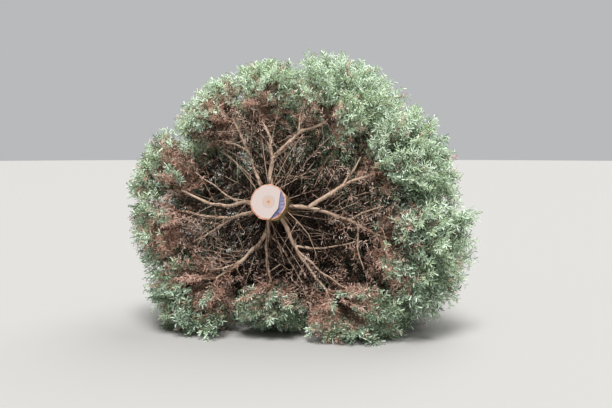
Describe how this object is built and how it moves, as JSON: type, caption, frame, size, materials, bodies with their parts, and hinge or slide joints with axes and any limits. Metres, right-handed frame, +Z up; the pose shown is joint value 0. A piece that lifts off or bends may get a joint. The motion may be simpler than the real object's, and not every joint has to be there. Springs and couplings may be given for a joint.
{
  "type": "felled christmas tree",
  "caption": "Cut fir lying on its side: tapering trunk with a flat sawn end, whorls of bare boughs and a round crown of needle sprays pressed flat where it lies.",
  "frame": {"origin": "on the ground plane, under the middle of the tree's box", "axes": "+Z up; the trunk runs along +Y in plan, sawn end towards -Y and tip towards +Y, and falls 12 degrees to the tip; +X is the right side seen from the sawn end"},
  "size_m": [1.6113, 2.3642, 1.2591],
  "materials": {
    "bark": "matte",
    "bough_wood": "matte",
    "foliage": "matte"
  },
  "bodies": {
    "root": {"trunk": "bark", "bough_1_1": "bough_wood", "foliage_1_1": "foliage", "bough_1_2": "bough_wood", "foliage_1_2": "foliage", "bough_1_3": "bough_wood", "foliage_1_3": "foliage", "bough_1_4": "bough_wood", "foliage_1_4": "foliage", "bough_1_5": "bough_wood", "foliage_1_5": "foliage", "bough_1_6": "bough_wood", "foliage_1_6": "foliage", "bough_1_7": "bough_wood", "foliage_1_7": "foliage", "bough_1_8": "bough_wood", "foliage_1_8": "foliage", "bough_1_9": "bough_wood", "foliage_1_9": "foliage", "bough_1_10": "bough_wood", "foliage_1_10": "foliage", "bough_2_1": "bough_wood", "foliage_2_1": "foliage", "bough_2_2": "bough_wood", "foliage_2_2": "foliage", "bough_2_3": "bough_wood", "foliage_2_3": "foliage", "bough_2_4": "bough_wood", "foliage_2_4": "foliage", "bough_2_5": "bough_wood", "foliage_2_5": "foliage", "bough_2_6": "bough_wood", "foliage_2_6": "foliage", "bough_3_1": "bough_wood", "foliage_3_1": "foliage", "bough_3_2": "bough_wood", "foliage_3_2": "foliage", "bough_3_3": "bough_wood", "foliage_3_3": "foliage", "bough_3_4": "bough_wood", "foliage_3_4": "foliage", "bough_3_5": "bough_wood", "foliage_3_5": "foliage", "foliage_4_1": "foliage", "foliage_4_2": "foliage", "foliage_4_3": "foliage", "foliage_4_4": "foliage", "foliage_5_1": "foliage", "foliage_5_2": "foliage", "foliage_5_3": "foliage", "foliage_5_4": "foliage", "foliage_6_1": "foliage", "foliage_6_2": "foliage", "foliage_6_3": "foliage", "foliage_7_1": "foliage", "foliage_7_2": "foliage", "foliage_7_3": "foliage", "foliage_8_1": "foliage", "foliage_8_2": "foliage"}
  },
  "joints": []
}
